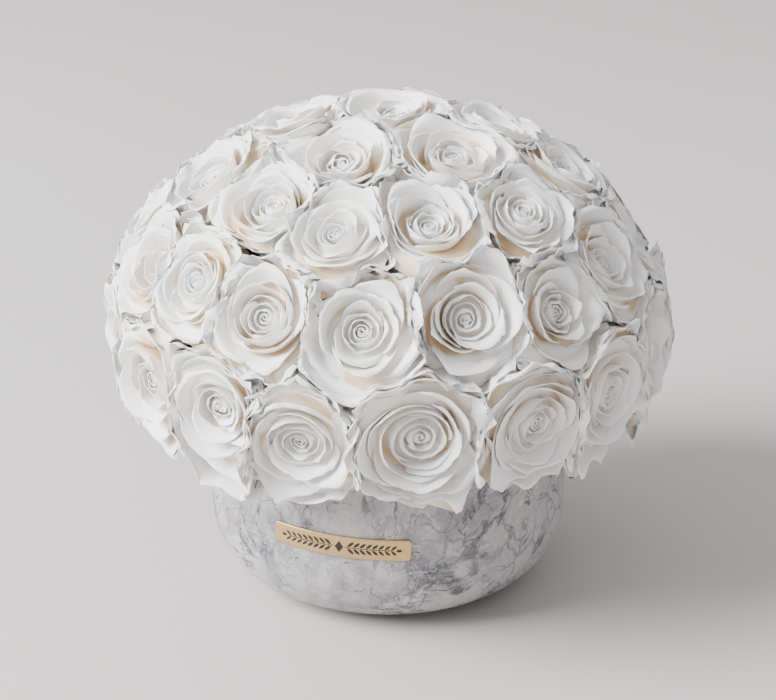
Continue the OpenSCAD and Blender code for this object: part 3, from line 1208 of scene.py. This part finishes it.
def add_stems():
    start = bpy.data.meshes.new("stem_places")
    start.from_pydata([(ring + axis * HEAD_BASE * MM) / MM for ring, axis in places.values()], [], [])
    facing = start.attributes.new("facing", "FLOAT_VECTOR", "POINT")
    facing.data.foreach_set("vector", np.array([axis for _, axis in places.values()]).ravel())
    mesh = grown("stems", stem_tree(), {"Stem finish": stem_paint()}, start)
    mesh.vertices.foreach_set("co", (coordinates(mesh) * MM).ravel())
    mesh.shade_smooth()
    mesh.set_sharp_from_angle(angle=STEM_CREASE)
    carry_over(in_scene("stems_with_calyxes", mesh), "insert", "rose_stems")
    print("stems:", len(mesh.polygons), "faces")


add_stems()


# %% [markdown]
# ## Pressing the heads together
#
# The real heads are packed so closely that their outer petals crumple where they meet, and the
# lowest petals hang over the bowl's wall with a torn edge. A cloth simulation could press them, but
# a preserved petal is a stiff, waxy sheet and there are more than fifteen hundred of them. So every
# point is moved by a rule instead. At the seam between two heads it is packed in front of a wavy
# wall, and what is packed piles up. At the crown it is held near the dome's curve. In the lowest
# row the edge is brought to one line round the dome, the hem, and then torn with small teeth.

# %% Press each head against its neighbours
NEIGHBOUR_REACH = 76 * MM
OVERLAP = 1.4 * MM
GIVE = 6 * MM
PILE = 0.35
PILE_MOST = 5 * MM
WAVE_SLOW = 2.4 * MM
WAVE_QUICK = 1.3 * MM
CREST_R = 150 * MM
CREST_H = 119 * MM
CREST_OVER = 2.5 * MM
CREST_GIVE = 8 * MM


def squeezed(over, limit, give):
    """Leaves what is below limit - give, and packs everything beyond it in front of the limit."""
    start = limit - give
    return np.where(over > start, limit - give * np.exp(-np.maximum(over - start, 0) / give), over)


def wavy(points):
    """A smooth wave in space, the same for both heads that meet at a seam."""
    x, y, z = (points / MM).T
    slow = np.sin(0.21 * x + 0.13 * z + 1) + np.sin(0.19 * y - 0.23 * z + 2) * np.cos(0.15 * x)
    quick = np.sin(0.57 * x - 0.31 * y + 3) * np.sin(0.49 * z + 0.4 * y)
    return WAVE_SLOW * slow + WAVE_QUICK * quick


def pressed(points, node):
    """Stops a head's petals at the seams with its neighbours, where they crumple and pile up."""
    ring, axis = places[node]
    rest = np.zeros(len(points))
    for other, (middle, _) in places.items():
        apart = middle - ring
        distance = np.linalg.norm(apart)
        if other == node or distance > NEIGHBOUR_REACH:
            continue
        toward = apart / distance
        beyond = (points - (ring + middle) / 2) @ toward
        seam = wavy(points) * (1 if node < other else -1)
        packed = squeezed(beyond - seam, OVERLAP, GIVE) + seam
        points = points + np.outer(packed - beyond, toward)
        rest = rest + (beyond - packed)
    rest *= 1 + wavy(points * 1.7) / (5 * MM)
    return points + np.outer(np.minimum(rest * PILE, PILE_MOST), axis)


def inside_dome(points):
    """Holds the crowns near the dome's curve, with a little of the wave in it."""
    middle = np.array([0, 0, DOME_Z])
    crest = np.array([CREST_R, CREST_R, CREST_H])
    away = (points - middle) / crest
    reach = np.linalg.norm(away, axis=1)
    limit = CREST_R + CREST_OVER + 0.6 * wavy(points)
    packed = squeezed(reach * CREST_R, limit, CREST_GIVE) / CREST_R
    return middle + away * (packed / np.maximum(reach, 1e-6))[:, None] * crest


# %% Tear the hem
# The sizes without MM are drawn in millimetres, and the finished lines are scaled at the end
HEM_SEED = 17
PANEL_EDGE = (89, 102)
NOTCH_TOP = (110, 122)
PANEL_TEETH = 7
PANEL_TORN = 3.6
HEM_SLANT = 0.15
HEM_GIVE = 1.5 * MM
HEM_BIN = math.radians(1)
HEM_DEEP = 24 * MM
HEM_MOST = 17 * MM
HEM_NEAR = 8 * MM
OVER_RIM = 5 * MM
TOOTH_SEED = 29
TEETH = 110
TOOTH_LONG = 5
TOOTH_DEEP = 11 * MM
TOOTH_SLOPE = 0.38


def torn_hem():
    """Azimuths and heights of the hem's corners: a torn panel under each head, a notch at each seam."""
    hem_chance = np.random.default_rng(HEM_SEED)
    row = sorted(lowest, key=lambda node: math.atan2(places[node][0][0], -places[node][0][1]))
    notches = []
    for node, after in zip(row, row[1:] + row[:1]):
        middle = (places[node][0] + places[after][0]) / 2
        slip = wavy(middle[None])[0] * (1 if node < after else -1)
        notches.append(math.atan2(middle[0], -middle[1]) + slip / RING_R)
    corners = []
    for start, end in zip(notches, notches[1:] + notches[:1]):
        gap = (end - start) % (2 * math.pi)
        left, right = hem_chance.uniform(*PANEL_EDGE, 2)
        corners.append((start, hem_chance.uniform(*NOTCH_TOP)))
        first, last = hem_chance.uniform(0.1, 0.28), hem_chance.uniform(0.72, 0.9)
        for share in np.linspace(first, last, PANEL_TEETH):
            tooth = hem_chance.uniform(-PANEL_TORN, PANEL_TORN)
            corners.append((start + share * gap, left + (right - left) * share + tooth))
    corners = np.array(corners)
    return corners[:, 0], corners[:, 1] * MM


hem_line = torn_hem()
tooth_chance = np.random.default_rng(TOOTH_SEED)
teeth_line = (
    (np.arange(TEETH) + tooth_chance.uniform(-0.4, 0.4, TEETH)) * 2 * math.pi / TEETH,
    tooth_chance.uniform(-TOOTH_LONG, TOOTH_LONG, TEETH) * MM,
)
print("hem: lowest corner", round(hem_line[1].min(), 4), "highest notch", round(hem_line[1].max(), 4))


def least_around(values, azimuth, outside):
    """The least of the outside values at each step of azimuth, read at every point's own azimuth."""
    bins = np.arange(-math.pi, math.pi, HEM_BIN)
    least = np.full(len(bins), 1.0)
    index = ((azimuth[outside] + math.pi) // HEM_BIN).astype(int) % len(bins)
    np.minimum.at(least, index, values[outside])
    least = np.minimum(least, np.minimum(np.roll(least, 1), np.roll(least, -1)))
    return np.interp(azimuth, bins + HEM_BIN / 2, least, period=2 * math.pi)


def hemmed(points, torn):
    """Brings a head's lower edge to the hem where it comes near, keeps it off the bowl, and tears it."""
    azimuth = np.arctan2(points[:, 0], -points[:, 1])
    radius = np.hypot(points[:, 0], points[:, 1])
    outside = radius > WALL_CLEAR_R + OVER_RIM
    edge = least_around(points[:, 2], azimuth, outside)
    depth = radius / RING_R - 1
    hem = np.interp(azimuth + HEM_SLANT * depth, *hem_line, period=2 * math.pi)
    share = np.clip((edge + HEM_DEEP - points[:, 2]) / HEM_DEEP, 0, 1) * outside
    near = np.clip((hem + HEM_NEAR - edge) / (HEM_NEAR / 2), 0, 1)
    points[:, 2] += np.clip(hem - edge, -HEM_NEAR, HEM_MOST) * share * near
    over_rim = np.clip((WALL_CLEAR_R + OVER_RIM - radius) / OVER_RIM, 0, 1)
    floor = hem + (FLANGE_CLEAR_Z - hem) * over_rim
    points[:, 2] = -squeezed(-points[:, 2], -floor, HEM_GIVE)
    if torn:
        hang = points[:, 2] - TOOTH_SLOPE * radius
        fringe = least_around(hang, azimuth, outside) + TOOTH_DEEP
        share = np.clip((fringe - hang) / TOOTH_DEEP, 0, 1) * outside
        points[:, 2] += np.interp(azimuth, *teeth_line, period=2 * math.pi) * share
    return points


# %% Grow the roses
ROSE_SEED = 53
USUAL_SPACING = 46 * MM
SIZES = (0.98, 1.06)
OPENNESS = (0.74, 1.42)
SINK = (0, 6)
SHIFT = (0, 4.5)
RAISED = (-3, 2)
TILT_MOST = 0.14
LOWEST_HANG = 0.5
# How far below the lips the painted crevice shade starts, how quickly it grows, and how much less of it the
# guard petals get
CREVICE_SHADE_FROM = 2.5
CREVICE_SHADE_OVER = 8
GUARD_SHADE_LESS = 0.45
PETAL_T = 0.3 * MM
CREASE = math.radians(55)


def buried(points):
    """How far each point of a head lies below the lips around it, in the head's own millimetres."""
    cell, half = 2.5, 20
    column = np.clip((points[:, :2] / cell).astype(int) + half, 1, 2 * half - 2)
    top = np.full((2 * half, 2 * half), -60.0)
    np.maximum.at(top, (column[:, 0], column[:, 1]), points[:, 2])
    around = [np.roll(np.roll(top, i, 0), j, 1) for i in (-1, 0, 1) for j in (-1, 0, 1)]
    return np.max(around, axis=0)[column[:, 0], column[:, 1]] - points[:, 2]


def turn_to(axis, tilt_x, tilt_y):
    """Columns of a turn that takes +Z to the axis, after a small tilt."""
    side = np.cross([0, 0, 1.0], axis)
    length = np.linalg.norm(side)
    side = side / length if length > 1e-6 else np.array([1.0, 0, 0])
    up = np.cross(axis, side)
    faced = axis + math.tan(tilt_x) * side + math.tan(tilt_y) * up
    faced /= np.linalg.norm(faced)
    side = np.cross(up, faced)
    side /= np.linalg.norm(side)
    return np.stack([side, np.cross(faced, side), faced], axis=1)


petal_nodes = petal_tree()
petal_finish = petal_paint()
chance = np.random.default_rng(ROSE_SEED)


def make_rose(node, seed):
    ring, axis = places[node]
    spin = chance.uniform(0, 2 * math.pi)
    tilt = chance.uniform(-TILT_MOST, TILT_MOST, 2)
    spacing = sorted(np.linalg.norm(place[0] - ring) for place in places.values())[1:6]
    size = chance.uniform(*SIZES) * np.mean(spacing) / USUAL_SPACING
    mesh = grown(
        node + "_petals",
        petal_nodes,
        {
            "Petals": PETALS,
            "Guards": GUARDS,
            "Radius": HEAD_R * size,
            "Openness": chance.uniform(*OPENNESS),
            "Spin": spin,
            "Sink": chance.uniform(*SINK),
            "Shift": chance.uniform(*SHIFT),
            "Hang": LOWEST_HANG if node in lowest else 0.0,
            "Seed": seed * 101,
            "Petal finish": petal_finish,
        },
    )
    local = coordinates(mesh)
    number = np.empty(len(local))
    mesh.attributes["petal"].data.foreach_get("value", number)
    # Light reaches between the guard petals, so they get less of the painted crevice shade
    less_guard_shade = 1 - GUARD_SHADE_LESS * np.clip((number - PETALS + GUARDS + 2) / 2, 0, 1) * (number < PETALS - 1)
    # depth is painted shade: the further a point lies below the lips, the warmer and darker its colour
    depth = np.clip((buried(local) - CREVICE_SHADE_FROM) / CREVICE_SHADE_OVER, 0, 1) * less_guard_shade
    mesh.attributes["depth"].data.foreach_set("value", depth)
    points = local * MM @ turn_to(axis, *tilt).T + ring + axis * chance.uniform(*RAISED) * MM
    points = hemmed(inside_dome(pressed(points, node)), node in lowest)
    mesh.vertices.foreach_set("co", points.ravel())
    mesh = thickened(node + "_petals", mesh, PETAL_T)
    mesh.shade_smooth()
    mesh.set_sharp_from_angle(angle=CREASE)
    return carry_over(in_scene(node + "_head", mesh), "insert", node)


heads = [make_rose(node, i + 1) for i, node in enumerate(rose_nodes)]
print("faces in one head:", len(heads[0].data.polygons))
